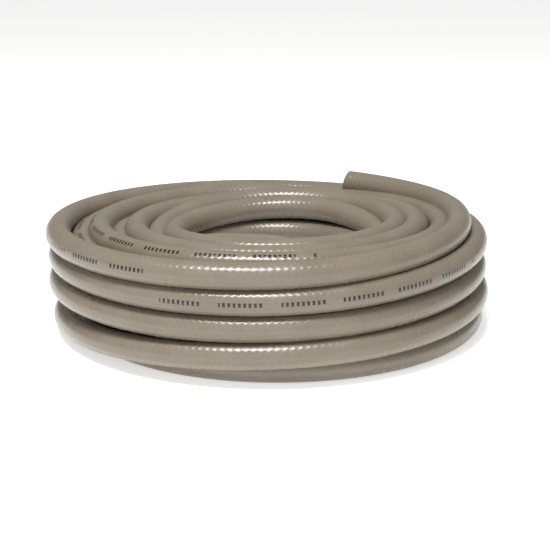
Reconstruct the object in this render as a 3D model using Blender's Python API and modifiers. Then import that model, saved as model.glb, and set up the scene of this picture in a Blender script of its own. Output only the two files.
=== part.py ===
"""A coil of reinforced 13 mm garden hose, lying flat, with one free end.

Frame: metres, +Z up, origin on the resting surface below the middle of the coil.
The hose is wound clockwise as seen from above, from the free end on top down the outside.
The body of the coil is one turned ring with the outline of its turns. The turns that can be
told apart, the first on the floor inside and the last on top, are tubes of their own, and both
cut ends show the three layers of the hose.
"""
import math

import bmesh
import bpy
from mathutils import Matrix, Vector

# Driving dimensions of the hose
HOSE_DIAMETER = 0.0175
HOSE_RADIUS = HOSE_DIAMETER / 2
COVER_WALL = 0.0009
YARN_WALL = 0.0004
LINER_WALL = 0.0007
LAYER_GAP = 0.0002
GAP = 0.0003

# Driving dimensions of the coil
OUTER_RADIUS = 0.146         # centre line of the outermost turns
INNER_RADIUS = 0.067         # centre line of the innermost turns
TOP_HEIGHT = 0.0722          # centre line of the turns that stand highest
LOW_HEIGHT = 0.0597          # centre line of the top turns that lie between them
BASE_RADIUS = 0.134          # centre line of the outermost turn on the floor
WALL_TURNS = 3               # turns above it on the outer wall, below the last turn
WALL_PITCH = HOSE_DIAMETER   # rise from turn to turn on the outer wall
TOP_ROWS = 5                 # turns across the top, low and high in turn
TOP_ROW_START = 0.1315       # radius of the outermost of them
TOP_ROW_PITCH = 0.01265
BORE_HEIGHTS = (0.0650, 0.0465, 0.0280)  # turns down the inner wall, above the first turn
FOOT_RADIUS = 0.0865         # innermost floor turn of the body, outside the first turn
COIL_SEGMENTS = 48
BODY_MERGE = 0.00001
ARC_STEP = math.radians(36)  # spacing of the points around one turn's bulge
CREASE_ANGLE = math.radians(30)  # how far an outline stays out of the crease between turns

# The cut ends
END_LENGTH = 0.024
END_SIDES = 20
END_SHARP_ANGLE = math.radians(40)

# The free end bends up and down where it leaves the last turn.
JOINT_ANGLE = 21.0           # degrees about the coil's axis
JOINT_STUB = 0.0025

# The route of the last turn: angle in degrees about the coil, radius, height.
# It starts in the groove beside the free end and drops onto the outer wall.
LAST_TURN_ROUTE = (
    (JOINT_ANGLE, 0.1330, 0.0844),
    (8.0, 0.1345, 0.0834),
    (-8.0, 0.1372, 0.0808),
    (-26.0, 0.1408, 0.0770),
    (-45.0, 0.1442, 0.0744),
    (-65.0, 0.1458, 0.0730),
    (-90.0, 0.1460, 0.0725),
    (-135.0, 0.1460, 0.0725),
    (-180.0, 0.1460, 0.0725),
    (-225.0, 0.1460, 0.0725),
    (-270.0, 0.1460, 0.0725),
    (-312.0, 0.1460, 0.0725),
)
# The free end lies in the groove between the two highest turns.
FREE_END_ROUTE = (
    (56.0, 0.1310, 0.0866),
    (48.0, 0.1320, 0.0852),
    (40.0, 0.1324, 0.0844),
    (31.0, 0.1326, 0.0844),
    (JOINT_ANGLE, 0.1330, 0.0844),
)
# The first turn lies on the floor against the inside of the coil, and its end stands clear of it.
FIRST_TURN_ROUTE = (
    (-75.0, 0.0570, HOSE_RADIUS),
    (-60.0, 0.0602, HOSE_RADIUS),
    (-42.0, 0.0633, HOSE_RADIUS),
    (-22.0, 0.0655, HOSE_RADIUS),
    (15.0, INNER_RADIUS, HOSE_RADIUS),
    (75.0, INNER_RADIUS, HOSE_RADIUS),
    (135.0, INNER_RADIUS, HOSE_RADIUS),
    (185.0, INNER_RADIUS, HOSE_RADIUS),
    (225.0, INNER_RADIUS, HOSE_RADIUS),
)
TURN_POINTS = 50             # points along one turn's tube
TUBE_BEVEL_STEPS = 3
FREE_END_POINTS = 9

# Colour and roughness of the layers
COVER_LOOK = ((0.37, 0.32, 0.255, 1.0), 0.38)
YARN_LOOK = ((0.62, 0.60, 0.55, 1.0), 0.8)
LINER_LOOK = ((0.16, 0.15, 0.13, 1.0), 0.5)


def clear_scene():
    for obj in list(bpy.data.objects):
        bpy.data.objects.remove(obj, do_unlink=True)


def plastic(name, colour, roughness):
    material = bpy.data.materials.new(name)
    material.use_nodes = True
    shader = material.node_tree.nodes["Principled BSDF"]
    shader.inputs["Base Color"].default_value = colour
    shader.inputs["Roughness"].default_value = roughness
    shader.inputs["Metallic"].default_value = 0.0
    return material


def add_object(name, data, collection, material):
    obj = bpy.data.objects.new(name, data)
    collection.objects.link(obj)
    data.materials.append(material)
    return obj


def on_coil(angle, radius, height):
    """The point at an angle in degrees about the coil's axis."""
    turn = math.radians(angle)
    return Vector((radius * math.cos(turn), radius * math.sin(turn), height))


def smooth_route(stations, points):
    """Points along a smooth curve through stations of angle, radius and height."""
    stations = [Vector(station) for station in stations]
    first = 2 * stations[0] - stations[1]
    last = 2 * stations[-1] - stations[-2]
    stations = [first] + stations + [last]
    spans = len(stations) - 3
    route = []
    for index in range(points):
        place = index * spans / (points - 1)
        span = min(int(place), spans - 1)
        t = place - span
        p0, p1, p2, p3 = stations[span:span + 4]
        bend = (2 * p0 - 5 * p1 + 4 * p2 - p3) * t * t + (3 * (p1 - p2) + p3 - p0) * t ** 3
        route.append(on_coil(*(0.5 * (2 * p1 + (p2 - p0) * t + bend))))
    return route


def ring_outline():
    """Points of the coil's half section as (radius, height), round from the outer foot.

    Each entry of turns is the centre line of a turn that shows on the outside, in order up
    the outer wall, across the top and down the inner wall.
    """
    turns = [(BASE_RADIUS, HOSE_RADIUS)]
    for below in range(WALL_TURNS, 0, -1):
        turns.append((OUTER_RADIUS, TOP_HEIGHT - WALL_PITCH * below))
    for row in range(TOP_ROWS):
        height = LOW_HEIGHT if row % 2 == 0 else TOP_HEIGHT
        turns.append((TOP_ROW_START - TOP_ROW_PITCH * row, height))
    for height in BORE_HEIGHTS:
        turns.append((INNER_RADIUS, height))
    turns.append((FOOT_RADIUS, HOSE_RADIUS))

    outline = []
    for index, (radius, height) in enumerate(turns):
        before = turns[index - 1]
        after = turns[(index + 1) % len(turns)]
        start = math.atan2(before[1] - height, before[0] - radius) + CREASE_ANGLE
        end = math.atan2(after[1] - height, after[0] - radius) - CREASE_ANGLE
        if index == 0:
            start = -math.pi / 2
        if index == len(turns) - 1:
            end = -math.pi / 2
        while end <= start:
            end += 2 * math.pi
        steps = max(1, round((end - start) / ARC_STEP))
        for step_index in range(steps + 1):
            angle = start + (end - start) * step_index / steps
            point_radius = radius + HOSE_RADIUS * math.cos(angle)
            point_height = height + HOSE_RADIUS * math.sin(angle)
            outline.append((point_radius, max(point_height, 0.0)))
    return outline


def turned_ring(name, outline, collection, material):
    """A closed ring, turned from a closed outline that runs counter-clockwise."""
    mesh = bpy.data.meshes.new(name)
    vertices = [(radius, 0.0, height) for radius, height in outline]
    edges = [(index, (index + 1) % len(vertices)) for index in range(len(vertices))]
    mesh.from_pydata(vertices, edges, [])
    obj = add_object(name, mesh, collection, material)
    screw = obj.modifiers.new("turn", "SCREW")
    screw.axis = "Z"
    screw.angle = 2 * math.pi
    screw.steps = COIL_SEGMENTS
    screw.render_steps = COIL_SEGMENTS
    screw.use_merge_vertices = True
    screw.merge_threshold = BODY_MERGE
    screw.use_normal_flip = True
    screw.use_smooth_shade = True
    return obj


def tube(name, points, collection, material):
    """A solid round hose along points."""
    curve = bpy.data.curves.new(name, "CURVE")
    curve.dimensions = "3D"
    curve.bevel_depth = HOSE_RADIUS
    curve.bevel_resolution = TUBE_BEVEL_STEPS
    curve.use_fill_caps = True
    spline = curve.splines.new("POLY")
    spline.points.add(len(points) - 1)
    for place, point in zip(spline.points, points):
        place.co = (*point, 1.0)
    return add_object(name, curve, collection, material)


def pipe(name, outer, inner, place, collection, material):
    """A straight hollow layer of a cut end, from the origin of place along its +Z."""
    mesh = bpy.data.meshes.new(name)
    shell = bmesh.new()
    rings = []
    for radius, height in ((outer, 0.0), (outer, END_LENGTH), (inner, END_LENGTH), (inner, 0.0)):
        circle = bmesh.ops.create_circle(shell, segments=END_SIDES, radius=radius)["verts"]
        bmesh.ops.translate(shell, verts=circle, vec=(0, 0, height))
        rings.append(circle)
    for ring, following in zip(rings, rings[1:] + rings[:1]):
        for index in range(END_SIDES):
            after = (index + 1) % END_SIDES
            shell.faces.new((ring[index], ring[after], following[after], following[index]))
    bmesh.ops.recalc_face_normals(shell, faces=shell.faces)
    shell.to_mesh(mesh)
    shell.free()
    mesh.shade_smooth()
    mesh.set_sharp_from_angle(angle=END_SHARP_ANGLE)
    obj = add_object(name, mesh, collection, material)
    obj.matrix_world = place
    return obj


def cut_end(prefix, tip, outward, collection, materials):
    """Cover, reinforcement and liner at a square cut, with the bore open.

    tip is the centre of the hose where its solid run stops, and outward points to the cut.
    """
    start = Vector(tip) + outward.normalized() * GAP
    place = Matrix.Translation(start) @ outward.to_track_quat("Z", "Y").to_matrix().to_4x4()
    outer = HOSE_RADIUS
    layers = (("cover", COVER_WALL), ("reinforcement", YARN_WALL), ("liner", LINER_WALL))
    for layer, wall in layers:
        pipe(f"{prefix}_{layer}", outer, outer - wall, place, collection, materials[layer])
        outer -= wall + LAYER_GAP


def build():
    clear_scene()
    collection = bpy.data.collections.new("hose_coil")
    bpy.context.scene.collection.children.link(collection)
    cover = plastic("hose_cover", *COVER_LOOK)
    materials = {
        "cover": cover,
        "reinforcement": plastic("hose_yarn", *YARN_LOOK),
        "liner": plastic("hose_liner", *LINER_LOOK),
    }

    turned_ring("coil_body", ring_outline(), collection, cover)

    # Both runs meet square at the joint, each with a short straight stub up to it.
    joint = on_coil(*LAST_TURN_ROUTE[0])
    along = Vector((math.sin(math.radians(JOINT_ANGLE)), -math.cos(math.radians(JOINT_ANGLE)), 0))
    last_turn = smooth_route(LAST_TURN_ROUTE, TURN_POINTS)
    last_turn[0:1] = [joint + along * GAP / 2, joint + along * JOINT_STUB]
    tube("last_turn", last_turn, collection, cover)

    free_end = smooth_route(FREE_END_ROUTE, FREE_END_POINTS)
    free_end[-1:] = [joint - along * JOINT_STUB, joint - along * GAP / 2]
    tube("free_end_run", free_end, collection, cover)
    cut_end("free_end", free_end[0], free_end[0] - free_end[1], collection, materials)

    first_turn = smooth_route(FIRST_TURN_ROUTE, TURN_POINTS)
    tube("first_turn", first_turn, collection, cover)
    cut_end("inner_end", first_turn[0], first_turn[0] - first_turn[1], collection, materials)


build()
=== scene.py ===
"""Looks of the garden hose coil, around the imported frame.

The hose is one continuous tube, wound clockwise as seen from above from the free end on top:
down the outer wall, through the hidden turns, across the top and down the inside to the floor.
Metres, +Z up, with the camera on the -Y side. Angles are in degrees about the coil's axis:
0 is the right (+X), -90 the front (-Y), -180 the left and -270 the back.
"""
import math

import bpy
import numpy as np
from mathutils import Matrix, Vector


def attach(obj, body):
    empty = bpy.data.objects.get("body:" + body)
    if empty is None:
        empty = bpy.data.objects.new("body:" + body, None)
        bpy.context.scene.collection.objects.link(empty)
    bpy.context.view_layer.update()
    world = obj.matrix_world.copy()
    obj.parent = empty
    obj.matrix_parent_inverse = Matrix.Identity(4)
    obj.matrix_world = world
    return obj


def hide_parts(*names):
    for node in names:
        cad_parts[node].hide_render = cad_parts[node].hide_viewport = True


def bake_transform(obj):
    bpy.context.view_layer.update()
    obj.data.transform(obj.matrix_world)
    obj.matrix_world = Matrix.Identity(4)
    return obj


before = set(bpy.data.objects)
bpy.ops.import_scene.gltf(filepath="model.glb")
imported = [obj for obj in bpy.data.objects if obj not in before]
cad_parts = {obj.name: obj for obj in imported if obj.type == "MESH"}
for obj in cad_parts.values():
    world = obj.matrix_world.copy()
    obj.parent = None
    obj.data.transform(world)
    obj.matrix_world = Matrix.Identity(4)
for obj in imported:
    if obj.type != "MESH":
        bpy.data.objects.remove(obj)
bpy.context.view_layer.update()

# ---------------------------------------------------------------- the hose
MM = 0.001
HOSE_DIAMETER = 17.5 * MM
HOSE_RADIUS = HOSE_DIAMETER / 2
YARN_RADIUS = 7.80 * MM      # outside of the reinforcement, inside of the cover
LINER_RADIUS = 7.35 * MM     # outside of the liner
BORE_RADIUS = 6.35 * MM
BORE_DEPTH = 60 * MM         # how far the open bore is modelled

RING_STEP = 5 * MM           # spacing of the rings of the mesh along the hose
RING_SIDES = 28
ANGLE_STEP = 0.25            # degrees between the points that the hose is first measured in

# The winding, as (radius, height) in millimetres at even steps round each turn, from the right
# through the front, the left and the back. The free end comes before the first of them, as
# (angle, radius, height).
FREE_END = (
    (62.0, 134.5, 77.0),
    (52, 135.5, 76.4),
    (42, 136.0, 76.1),
    (21, 135.8, 76.5),
)
OUTER_WALL = (
    ((135.3, 77.0), (146, 72.6), (149, 69.3), (146, 64.0)),
    ((147, 64.5), (146.5, 56.0), (147.5, 53.5), (146, 48.5)),
    ((147, 46.5), (146, 38.5), (148, 35.5), (146, 30.5)),
    ((149, 28.0), (148, 21.5), (145, 10.7), (142, 8.75)),
)
FLOOR = (
    ((146, 9.3), (136, 8.75), (127.5, 8.75), (124.5, 8.75)),
    ((122, 8.75), (116, 8.75), (108, 8.75), (105.5, 8.75)),
    ((103, 8.75), (96, 8.75), (89, 8.75), (87, 8.75)),
)
MIDDLE = (
    ((87, 14.0), (86.5, 20.0), (86.5, 25.0), (86.5, 26.5)),
    ((86.5, 31.5), (86.5, 37.0), (86.5, 41.5), (89, 41.5)),
    ((97, 41.5), (102, 41.5), (102, 41.5), (102, 41.5)),
    ((102, 26.0), (102, 25.5), (102, 25.5), (105, 25.5)),
    ((114, 25.5), (119, 25.5), (119, 25.5), (119, 25.5)),
    ((119, 41.5), (119, 41.5), (119, 41.5), (121, 43.0)),
)
TOP = (
    ((130, 50.0), (131, 57.0), (132, 62.0), (131, 62.0)),
    ((124, 69.5), (119.5, 71), (115, 71.2), (117, 70),
     (119.5, 68.5), (118.5, 67.5), (117, 67), (115, 57.5)),
    ((113, 57.5), (109, 57.5), (105, 58), (105, 60),
     (105.7, 61.5), (106, 57), (106.5, 56), (105.5, 67.5)),
    ((106, 71), (101, 71), (95, 70.3), (94.3, 69), (94.3, 67.5), (94.5, 66), (94.5, 65), (95.5, 56)),
    ((98, 57.0), (86, 56.5), (79, 61.5), (82, 71.0)),
)
HOLE = (
    ((91, 70.5), (85, 71), (76.5, 70.3), (73.5, 68.5), (66.8, 63.8), (67, 63.9), (69, 67), (72, 68)),
    ((79, 62), (72, 60), (62, 69.2), (61.5, 65), (67, 47.5), (68.5, 47.5), (69.5, 48.7), (70.5, 49.5)),
)
INNER_WALL = (
    ((70.5, 50.5), (68.5, 48.5), (69, 29.5), (69, 29.5)),
    ((70, 31.5), (69, 28.0), (68, 12.0), (67.5, 11.0)),
)
INNER_END = (
    (0, 66.5, 8.75),
    (-22, 64.8, 8.75),
    (-42, 62.3, 8.75),
    (-60, 59.4, 8.75),
    (-75, 56.5, 8.75),
)


def winding():
    """All stations of the hose as (angle, radius, height) in degrees and metres, free end first."""
    stations = [(angle, radius * MM, height * MM) for angle, radius, height in FREE_END]
    turns = OUTER_WALL + FLOOR + MIDDLE + TOP + HOLE + INNER_WALL
    angle = 0
    for turn in turns:
        for radius, height in turn:
            stations.append((angle, radius * MM, height * MM))
            angle -= 360 / len(turn)
    for offset, radius, height in INNER_END:
        stations.append((angle + offset, radius * MM, height * MM))
    return np.array(stations)


def hermite(stations, angle):
    """Radius and height of the hose at an angle, on a smooth curve through the stations."""
    angles = -stations[:, 0]
    values = stations[:, 1:]
    slopes = np.gradient(values, angles, axis=0)
    span = np.clip(np.searchsorted(angles, -angle) - 1, 0, len(angles) - 2)
    width = (angles[span + 1] - angles[span])[:, None]
    share = ((-angle - angles[span])[:, None]) / width
    before, after = values[span], values[span + 1]
    leave, arrive = slopes[span] * width, slopes[span + 1] * width
    square, cube = share**2, share**3
    return ((2 * cube - 3 * square + 1) * before + (cube - 2 * square + share) * leave
            + (3 * square - 2 * cube) * after + (cube - square) * arrive)


def centre_line():
    """Points down the middle of the hose, RING_STEP apart, from the free end to the inner end."""
    stations = winding()
    fine = np.arange(stations[0, 0], stations[-1, 0] - ANGLE_STEP / 25, -ANGLE_STEP)
    place = hermite(stations, fine)
    turn = np.radians(fine)
    points = np.column_stack((place[:, 0] * np.cos(turn), place[:, 0] * np.sin(turn), place[:, 1]))
    lengths = np.append(0, np.cumsum(np.linalg.norm(np.diff(points, axis=0), axis=1)))
    rings = round(lengths[-1] / RING_STEP) + 1
    even = np.linspace(0, lengths[-1], rings)
    line = np.column_stack([np.interp(even, lengths, points[:, axis]) for axis in range(3)])
    return line, even, np.interp(even, lengths, fine)


LINE, ALONG, ANGLES = centre_line()


def ring_frames():
    """The direction of the hose at each ring, and a side direction that doesn't twist."""
    ahead = np.gradient(LINE, axis=0)
    ahead /= np.linalg.norm(ahead, axis=1)[:, None]
    sides = np.zeros_like(ahead)
    side = np.array((0.0, 0.0, 1.0))
    for index, direction in enumerate(ahead):
        side = side - direction * side.dot(direction)
        side /= np.linalg.norm(side)
        sides[index] = side
    return ahead, sides


AHEAD, SIDES = ring_frames()


def ring_at(index, radius, shift=0.0, slant=0.0):
    """A ring of the mesh: centre, the two directions it is drawn in, radius and place along."""
    centre = LINE[index] + AHEAD[index] * shift
    across = SIDES[index] + AHEAD[index] * slant
    return centre, across, np.cross(AHEAD[index], SIDES[index]), radius, ALONG[index] + shift


def at_angle(angle):
    """The first ring past an angle of the whole winding, where every turn takes 360 off."""
    return int(np.searchsorted(-ANGLES, -angle))


BAKE_MARGIN = 0.02           # of the bake map, left free for the caps
BAKE_ROW_START = 0.04        # of a row's height, left free below its faces
BAKE_ROW_HEIGHT = 0.92
BAKE_CAP_RADIUS = 0.008
CAP_ANGLE = math.radians(50)


def loft(name, rings, material, joined=False):
    """A closed body through rings. joined closes it on itself, otherwise flat caps end it."""
    count = len(rings)
    turn = np.arange(RING_SIDES) * 2 * math.pi / RING_SIDES
    vertices = []
    for centre, across, up, radius, along in rings:
        circle = np.outer(np.cos(turn), across) + np.outer(np.sin(turn), up)
        vertices.extend(centre + radius * circle)
    faces, marks = [], []
    for ring in range(count if joined else count - 1):
        following = (ring + 1) % count
        for side in range(RING_SIDES):
            after = (side + 1) % RING_SIDES
            faces.append((ring * RING_SIDES + side, ring * RING_SIDES + after,
                          following * RING_SIDES + after, following * RING_SIDES + side))
            marks.append((ring, side))
    walls = len(faces)
    if not joined:
        faces.append(tuple(range(RING_SIDES))[::-1])
        faces.append(tuple(range((count - 1) * RING_SIDES, count * RING_SIDES)))
    mesh = bpy.data.meshes.new(name)
    mesh.from_pydata([tuple(vertex) for vertex in vertices], [], faces)
    mesh.shade_smooth()
    mesh.set_sharp_from_angle(angle=CAP_ANGLE)

    # "Hose" holds metres along and around the hose, which the materials are drawn in.
    # "OFBake" lays the same faces out in rows on a unit square.
    hose_map = mesh.uv_layers.new(name="Hose")
    bake_map = mesh.uv_layers.new(name="OFBake")
    girth = 2 * math.pi * HOSE_RADIUS
    spans = count if joined else count - 1
    length = max(spans * RING_STEP, girth)
    rows = max(1, int(math.sqrt(length / girth)))
    per_row = math.ceil(spans / rows)
    tall = (1 - BAKE_MARGIN) / rows
    hose_uv, bake_uv = [], []
    for ring, side in marks:
        start = rings[ring][4]
        end = rings[(ring + 1) % count][4]
        left, right = side / RING_SIDES, (side + 1) / RING_SIDES
        hose_uv += [start, left * girth, start, right * girth, end, right * girth, end, left * girth]
        row, place = divmod(ring, per_row)
        low = (row + BAKE_ROW_START + BAKE_ROW_HEIGHT * left) * tall
        high = (row + BAKE_ROW_START + BAKE_ROW_HEIGHT * right) * tall
        near, far = place / per_row, (place + 1) / per_row
        bake_uv += [near, low, near, high, far, high, far, low]
    for cap in mesh.polygons[walls:]:
        along = rings[0 if cap.index == walls else -1][4]
        for step in range(cap.loop_total):
            spot = step * 2 * math.pi / RING_SIDES
            hose_uv += [along, step * girth / RING_SIDES]
            bake_uv += [1 - BAKE_MARGIN / 2 + BAKE_CAP_RADIUS * math.cos(spot),
                        1 - BAKE_MARGIN / 2 + BAKE_CAP_RADIUS * math.sin(spot)]
    hose_map.data.foreach_set("uv", hose_uv)
    bake_map.data.foreach_set("uv", bake_uv)
    hose_map.active_render = True

    piece = bpy.data.objects.new(name, mesh)
    bpy.context.scene.collection.objects.link(piece)
    mesh.materials.append(material)
    return piece


# ---------------------------------------------------------------- materials
class Nodes:
    """A small helper that adds and links the nodes of one material."""

    def __init__(self, name):
        self.material = bpy.data.materials.new(name)
        self.material.use_nodes = True
        self.tree = self.material.node_tree
        self.shader = self.tree.nodes["Principled BSDF"]

    def add(self, kind, **settings):
        node = self.tree.nodes.new(kind)
        for key, value in settings.items():
            setattr(node, key, value)
        return node

    def put(self, source, target):
        if isinstance(source, bpy.types.NodeSocket):
            self.tree.links.new(source, target)
        else:
            target.default_value = source

    def math(self, operation, *values):
        node = self.add("ShaderNodeMath", operation=operation)
        for index, value in enumerate(values):
            self.put(value, node.inputs[index])
        return node.outputs[0]

    def mix(self, factor, first, second):
        node = self.add("ShaderNodeMix", data_type="RGBA")
        self.put(factor, node.inputs["Factor"])
        self.put(first, node.inputs["A"])
        self.put(second, node.inputs["B"])
        return node.outputs["Result"]

    def span(self, value, low, high, to_low=0.0, to_high=1.0):
        node = self.add("ShaderNodeMapRange")
        self.put(value, node.inputs["Value"])
        ends = {"From Min": low, "From Max": high, "To Min": to_low, "To Max": to_high}
        for key, number in ends.items():
            node.inputs[key].default_value = number
        return node.outputs["Result"]

    def noise(self, scale, detail=2.0, coordinates=None):
        node = self.add("ShaderNodeTexNoise")
        node.inputs["Scale"].default_value = scale
        node.inputs["Detail"].default_value = detail
        if coordinates is not None:
            self.put(coordinates, node.inputs["Vector"])
        return node.outputs["Fac"]

    def bump(self, height, distance, strength=1.0, normal=None):
        node = self.add("ShaderNodeBump")
        node.inputs["Strength"].default_value = strength
        node.inputs["Distance"].default_value = distance
        self.put(height, node.inputs["Height"])
        if normal is not None:
            self.put(normal, node.inputs["Normal"])
        return node.outputs["Normal"]


def srgb(red, green, blue):
    """A linear colour from 0 to 255 screen values."""
    linear = []
    for value in (red, green, blue):
        value /= 255
        linear.append(value / 12.92 if value <= 0.04045 else ((value + 0.055) / 1.055) ** 2.4)
    return (*linear, 1.0)


COVER_DARK = srgb(114, 105, 91)
COVER_LIGHT = srgb(122, 113, 99)
DOT_TINT = srgb(129, 120, 106)
GROOVE_TINT = srgb(102, 93, 79)
SCUFF_TINT = srgb(140, 132, 118)
MARK_COLOUR = srgb(24, 21, 18)

GIRTH = 2 * math.pi * HOSE_RADIUS
STITCH = 4.5 * MM            # pitch of the knitted yarn along the hose
STITCHES_ROUND = 8           # how often each lean of the yarn comes round the hose
STITCH_RELIEF = 0.12 * MM
MARK_PERIOD = 0.69           # the printed dashes repeat along the hose, in metres
MARK_START = 0.44
MARK_SHARE = 0.34            # the share of each period that has dashes
MARK_PLACE = 0.78            # how far round the hose they lie, with 0 on top and 0.75 outside
MARK_TWIST = -0.10           # how far round they move for each metre, past MARK_STEADY
MARK_STEADY = 1.6
MARK_HEIGHT = 2.8 * MM
WORD_PITCH = 0.037           # groups of dashes, and the share of each that isn't a gap
WORD_SHARE = 0.72
DASH_PITCH = 0.0031
DASH_SHARE = 0.55


def cover_material():
    """Satin grey-beige PVC over a knitted yarn, with generic dashes printed along it."""
    nodes = Nodes("hose_cover_pvc")
    place = nodes.add("ShaderNodeUVMap", uv_map="Hose")
    parts = nodes.add("ShaderNodeSeparateXYZ")
    nodes.put(place.outputs["UV"], parts.inputs[0])
    along, around = parts.outputs["X"], parts.outputs["Y"]
    where = nodes.add("ShaderNodeTexCoord").outputs["Object"]

    # two families of yarn that lean opposite ways and make a raised dot where they cross
    waves = []
    for lean in (1, -1):
        turns_along = nodes.math("MULTIPLY", along, 2 * math.pi / STITCH)
        turns_around = nodes.math("MULTIPLY", around, lean * 2 * math.pi * STITCHES_ROUND / GIRTH)
        waves.append(nodes.math("COSINE", nodes.math("ADD", turns_along, turns_around)))
    dots = nodes.math("POWER", nodes.span(nodes.math("ADD", *waves), -2.0, 2.0), 1.5)

    # dashes: a band round the hose, cut into groups, words and strokes along it
    past_steady = nodes.math("MAXIMUM", nodes.math("SUBTRACT", along, MARK_STEADY), 0.0)
    turned = nodes.math("ADD", nodes.math("MULTIPLY", past_steady, MARK_TWIST), MARK_PLACE)
    middle_line = nodes.math("MULTIPLY", nodes.math("FRACT", turned), GIRTH)
    off_line = nodes.math("ABSOLUTE", nodes.math("SUBTRACT", around, middle_line))
    band = nodes.math("LESS_THAN", off_line, MARK_HEIGHT / 2)
    from_start = nodes.math("SUBTRACT", along, MARK_START)
    mark = band
    for place_along, pitch, part in ((from_start, MARK_PERIOD, MARK_SHARE),
                                     (along, WORD_PITCH, WORD_SHARE),
                                     (along, DASH_PITCH, DASH_SHARE)):
        cycle = nodes.math("FRACT", nodes.math("DIVIDE", place_along, pitch))
        mark = nodes.math("MULTIPLY", mark, nodes.math("LESS_THAN", cycle, part))

    mottle = nodes.noise(38, 3, where)
    speck = nodes.noise(900, 2, where)
    scuff = nodes.span(nodes.noise(160, 6, where), 0.60, 0.74)
    colour = nodes.mix(nodes.span(mottle, 0.3, 0.7), COVER_DARK, COVER_LIGHT)
    colour = nodes.mix(nodes.math("MULTIPLY", dots, 0.15), colour, DOT_TINT)
    colour = nodes.mix(nodes.math("MULTIPLY", nodes.span(speck, 0.35, 0.65), 0.10), colour, GROOVE_TINT)
    colour = nodes.mix(nodes.math("MULTIPLY", scuff, 0.12), colour, SCUFF_TINT)
    colour = nodes.mix(nodes.math("MULTIPLY", mark, 0.95), colour, MARK_COLOUR)
    nodes.put(colour, nodes.shader.inputs["Base Color"])

    rough = nodes.span(mottle, 0.3, 0.7, 0.24, 0.31)
    scuffed = nodes.math("ADD", rough, nodes.math("MULTIPLY", scuff, 0.10))
    nodes.put(scuffed, nodes.shader.inputs["Roughness"])
    fine = nodes.bump(speck, 0.00004, 0.25)
    nodes.put(nodes.bump(dots, STITCH_RELIEF, 1.0, fine), nodes.shader.inputs["Normal"])
    nodes.shader.inputs["IOR"].default_value = 1.5
    return nodes.material


def yarn_material():
    """Pale polyester yarn, cut across."""
    nodes = Nodes("hose_yarn_polyester")
    where = nodes.add("ShaderNodeTexCoord").outputs["Object"]
    fibre = nodes.noise(2600, 3, where)
    colour = nodes.mix(fibre, srgb(176, 170, 156), srgb(226, 222, 212))
    nodes.put(colour, nodes.shader.inputs["Base Color"])
    nodes.shader.inputs["Roughness"].default_value = 0.85
    nodes.put(nodes.bump(fibre, 0.0002, 0.8), nodes.shader.inputs["Normal"])
    return nodes.material


def liner_material():
    """Dark, smooth PVC liner."""
    nodes = Nodes("hose_liner_pvc")
    where = nodes.add("ShaderNodeTexCoord").outputs["Object"]
    cloud = nodes.noise(240, 3, where)
    nodes.put(nodes.mix(cloud, srgb(64, 61, 56), srgb(82, 78, 71)), nodes.shader.inputs["Base Color"])
    nodes.put(nodes.span(cloud, 0.3, 0.7, 0.42, 0.55), nodes.shader.inputs["Roughness"])
    nodes.put(nodes.bump(nodes.noise(1500, 2, where), 0.00005, 0.4), nodes.shader.inputs["Normal"])
    return nodes.material


COVER = cover_material()
YARN = yarn_material()
LINER = liner_material()


# ---------------------------------------------------------------- stretches of the hose
BEND_START = 12              # the free end bends between these angles when it lifts
BEND_END = 33
WALL_END = -360 * len(OUTER_WALL)
FLOOR_END = WALL_END - 360 * len(FLOOR)
MIDDLE_END = FLOOR_END - 360 * len(MIDDLE)
TOP_END = MIDDLE_END - 360 * len(TOP)
HOLE_END = TOP_END - 360 * len(HOLE)
LAST = len(LINE) - 1
LIP = 0.35 * MM              # the worn edge at a cut end
LIP_CORNER = LIP * 0.3
YARN_RECESS = 0.15 * MM      # how far the yarn lies inside a cut face
CUT_SLANT = 0.17             # the free end is cut a little askew, shorter at the top


def cut_rings(tip, inward):
    """Rings over the rounded lip at a cut, then back down the inside of the cover.

    inward is 1 where the hose runs up from the tip, and -1 where it runs down to it.
    """
    depth = round(BORE_DEPTH / RING_STEP)
    slant = CUT_SLANT if inward > 0 else 0.0
    lip = [ring_at(tip, HOSE_RADIUS, inward * LIP, slant),
           ring_at(tip, HOSE_RADIUS - LIP_CORNER, inward * LIP_CORNER, slant),
           ring_at(tip, HOSE_RADIUS - LIP, 0.0, slant), ring_at(tip, YARN_RADIUS, 0.0, slant)]
    inside = [ring_at(tip + inward * step, YARN_RADIUS) for step in range(1, depth + 1)]
    return lip + inside


def layer(name, tip, inward, outer, inner, recess, material, slot):
    """One inner layer at a cut end, as a closed sleeve down to the modelled depth."""
    depth = round(BORE_DEPTH / RING_STEP)
    steps = range(1, depth)
    outside = [ring_at(tip + inward * step, outer) for step in steps]
    inside = [ring_at(tip + inward * step, inner) for step in steps]
    slant = CUT_SLANT if inward > 0 else 0.0
    mouth = [ring_at(tip, outer, inward * recess, slant), ring_at(tip, inner, inward * recess, slant)]
    rings = outside[::-1] + mouth + inside
    if inward < 0:
        rings = rings[::-1]
    return loft(name, rings, material, joined=True)


def stretch(name, first, last):
    """The hose between two rings, with flat ends."""
    rings = [ring_at(index, HOSE_RADIUS) for index in range(first, last + 1)]
    return loft(name, rings, COVER)


bend_start, bend_end = at_angle(BEND_START), at_angle(BEND_END)
cuts = [at_angle(angle) for angle in
        (WALL_END, FLOOR_END, MIDDLE_END, TOP_END, HOLE_END)]

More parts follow.
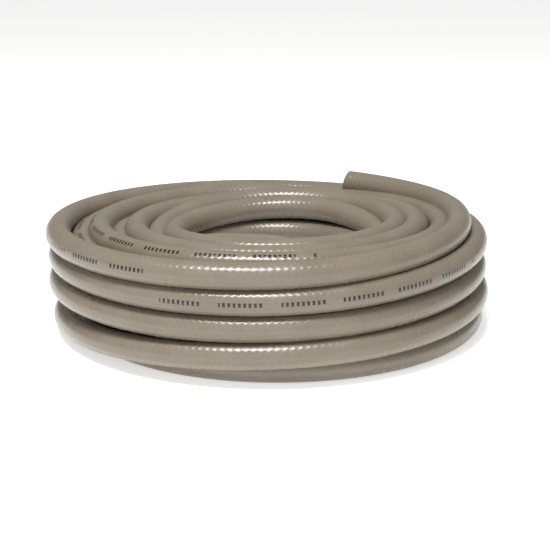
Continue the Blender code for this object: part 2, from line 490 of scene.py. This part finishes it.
free_rings = cut_rings(0, 1)[::-1]
free_rings += [ring_at(index, HOSE_RADIUS) for index in range(1, bend_start + 1)]
free_stretch = loft("free_end_hose", free_rings, COVER)
wall = stretch("outer_wall_turns", bend_start, cuts[0])
floor_turns = stretch("floor_turns", cuts[0], cuts[1])
middle = stretch("middle_turns", cuts[1], cuts[2])
top = stretch("top_turns", cuts[2], cuts[3])
hole = stretch("turns_round_the_hole", cuts[3], cuts[4])
last_rings = [ring_at(index, HOSE_RADIUS) for index in range(cuts[4], LAST)] + cut_rings(LAST, -1)
inner_wall = loft("inner_wall_turns", last_rings, COVER)

# outer and inner radius, how far the layer lies inside the cut, material and slot
YARN_LAYER = (YARN_RADIUS, LINER_RADIUS, YARN_RECESS, YARN, "hose_yarn")
LINER_LAYER = (LINER_RADIUS, BORE_RADIUS, 0.0, LINER, "hose_liner")
free_yarn = layer("free_end_yarn", 0, 1, *YARN_LAYER)
free_liner = layer("free_end_lining", 0, 1, *LINER_LAYER)
inner_yarn = layer("inner_end_yarn", LAST, -1, *YARN_LAYER)
inner_liner = layer("inner_end_lining", LAST, -1, *LINER_LAYER)


COIL_PIECES = (wall, floor_turns, middle, top, hole, inner_wall, inner_yarn, inner_liner)
for piece in COIL_PIECES:
    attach(piece, "coil")
for piece in (free_yarn, free_liner):
    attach(piece, "free_end")
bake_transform(free_stretch)

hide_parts("last_turn", "coil_body")
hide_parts("first_turn", "inner_end_cover")
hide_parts("inner_end_reinforcement")
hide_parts("inner_end_liner")
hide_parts("free_end_run", "free_end_cover")
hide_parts("free_end_reinforcement")
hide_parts("free_end_liner")

print("hose length", round(float(ALONG[-1]), 3))

# ---------------------------------------------------------------- floor, light and camera
FLOOR_SIZE = 16.0
COIL_MIDDLE = (0, 0, 0.04)
FLOOR_GLOW = 0.52            # the paper glows a little, as a table lit from below does
ROOM_FRONT = 0.63            # brightness of the room in front of the coil and behind it
ROOM_BACK = 0.34
ROOM_SIDES = 0.24            # how much less there is at either side


def stage_floor():
    """A wide pale floor that fills the view."""
    material = bpy.data.materials.new("studio_paper")
    material.use_nodes = True
    shader = material.node_tree.nodes["Principled BSDF"]
    shader.inputs["Base Color"].default_value = srgb(244, 244, 243)
    shader.inputs["Roughness"].default_value = 0.9
    shader.inputs["Emission Color"].default_value = (1, 1, 1, 1)
    shader.inputs["Emission Strength"].default_value = FLOOR_GLOW
    mesh = bpy.data.meshes.new("studio_floor")
    half = FLOOR_SIZE / 2
    corners = [(-half, -half, 0), (half, -half, 0), (half, half, 0), (-half, half, 0)]
    mesh.from_pydata(corners, [], [(0, 1, 2, 3)])
    mesh.materials.append(material)
    paper = bpy.data.objects.new("studio_floor", mesh)
    bpy.context.scene.collection.objects.link(paper)


def area_light(name, place, target, size, power):
    """A white rectangular light of a size in metres and a power in watts, aimed at a target."""
    light = bpy.data.lights.new(name, "AREA")
    light.shape = "RECTANGLE"
    light.size, light.size_y = size
    light.energy = power
    lamp = bpy.data.objects.new(name, light)
    lamp.location = place
    lamp.rotation_euler = (Vector(target) - Vector(place)).to_track_quat("-Z", "Y").to_euler()
    bpy.context.scene.collection.objects.link(lamp)


def studio():
    """A pale room that is brightest in front of the coil, a strip light above, a soft front light."""
    world = bpy.data.worlds.new("studio")
    world.use_nodes = True
    nodes, links = world.node_tree.nodes, world.node_tree.links
    direction = nodes.new("ShaderNodeTexCoord")
    parts = nodes.new("ShaderNodeSeparateXYZ")
    links.new(direction.outputs["Generated"], parts.inputs[0])
    fade = nodes.new("ShaderNodeMapRange")
    links.new(parts.outputs["Y"], fade.inputs["Value"])
    ends = (("From Min", -1.0), ("From Max", 1.0), ("To Min", ROOM_FRONT), ("To Max", ROOM_BACK))
    for key, number in ends:
        fade.inputs[key].default_value = number
    sideways = nodes.new("ShaderNodeMath")
    sideways.operation = "ABSOLUTE"
    links.new(parts.outputs["X"], sideways.inputs[0])
    dimmer = nodes.new("ShaderNodeMath")
    dimmer.operation = "MULTIPLY_ADD"
    dimmer.inputs[1].default_value = -ROOM_SIDES
    links.new(sideways.outputs[0], dimmer.inputs[0])
    links.new(fade.outputs["Result"], dimmer.inputs[2])
    background = nodes["Background"]
    background.inputs["Color"].default_value = (1, 1, 1, 1)
    links.new(dimmer.outputs[0], background.inputs["Strength"])
    bpy.context.scene.world = world
    bpy.context.scene.view_settings.view_transform = "Standard"
    area_light("key", (-0.17, -0.49, 1.24), COIL_MIDDLE, (0.60, 0.20), 21)
    area_light("front", (-0.5, -1.5, 0.7), COIL_MIDDLE, (1.4, 0.8), 3)


CAMERA_PLACE = (0.0, -0.9664, 0.3021)
CAMERA_TARGET = (0.0, 0.0, 0.045)
CAMERA_LENS = 90.65
CAMERA_SHIFT = (0.0127, -0.030)


def camera():
    lens = bpy.data.cameras.new("camera")
    lens.lens = CAMERA_LENS
    lens.shift_x, lens.shift_y = CAMERA_SHIFT
    view = bpy.data.objects.new("camera", lens)
    view.location = CAMERA_PLACE
    aim = Vector(CAMERA_TARGET) - Vector(CAMERA_PLACE)
    view.rotation_euler = aim.to_track_quat("-Z", "Y").to_euler()
    bpy.context.scene.collection.objects.link(view)
    bpy.context.scene.camera = view


stage_floor()
studio()
camera()
